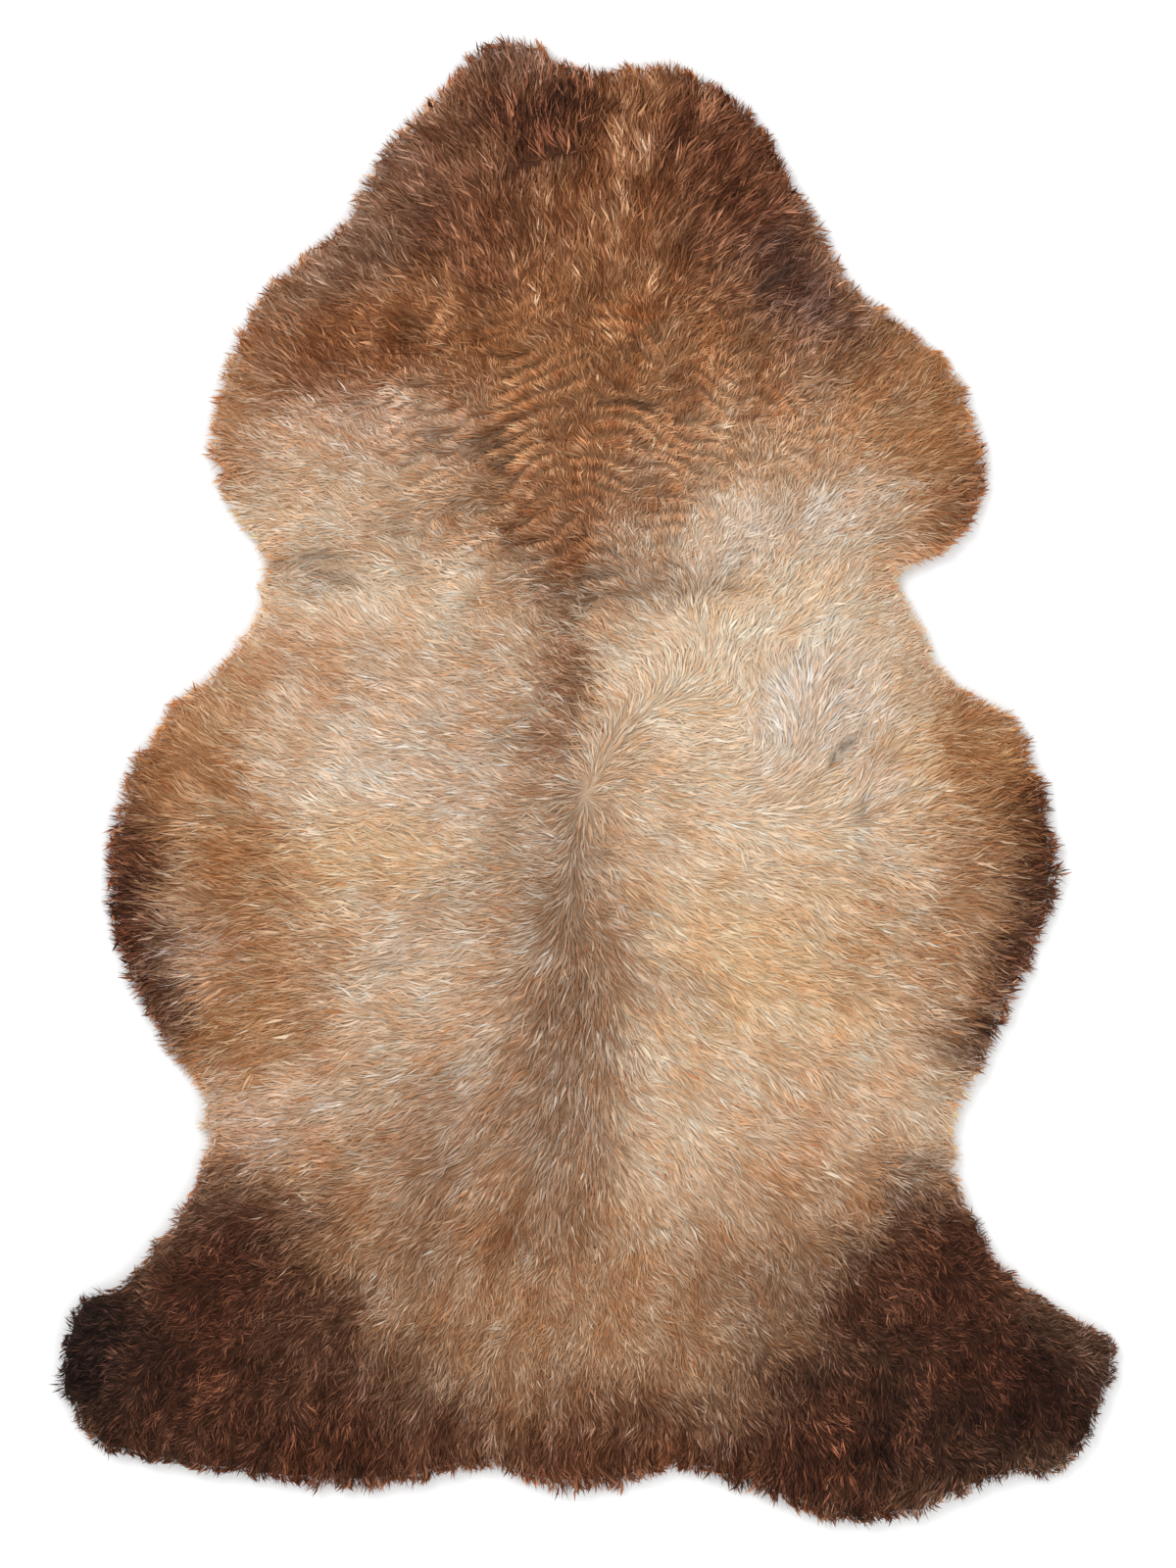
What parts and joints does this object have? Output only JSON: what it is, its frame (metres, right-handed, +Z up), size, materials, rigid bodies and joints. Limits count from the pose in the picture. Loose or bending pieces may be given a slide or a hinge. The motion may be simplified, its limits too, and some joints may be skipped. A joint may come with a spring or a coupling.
{
  "type": "lambskin",
  "caption": "Flat tanned lambskin with its wool on: a lumpy fleece over a flat hide, cut to the skin's natural outline with neck, foreleg and hind leg lobes.",
  "frame": {"origin": "on the floor, under the middle of the skin's bounding box", "axes": "+Z up out of the wool, +Y towards the neck, +X to the right seen from above with the neck at the top"},
  "size_m": [0.7262, 1.007, 0.0329],
  "materials": {
    "wool": "matte undyed wool pile in browns and fawn"
  },
  "bodies": {
    "root": {"lambskin": "wool"}
  },
  "joints": []
}
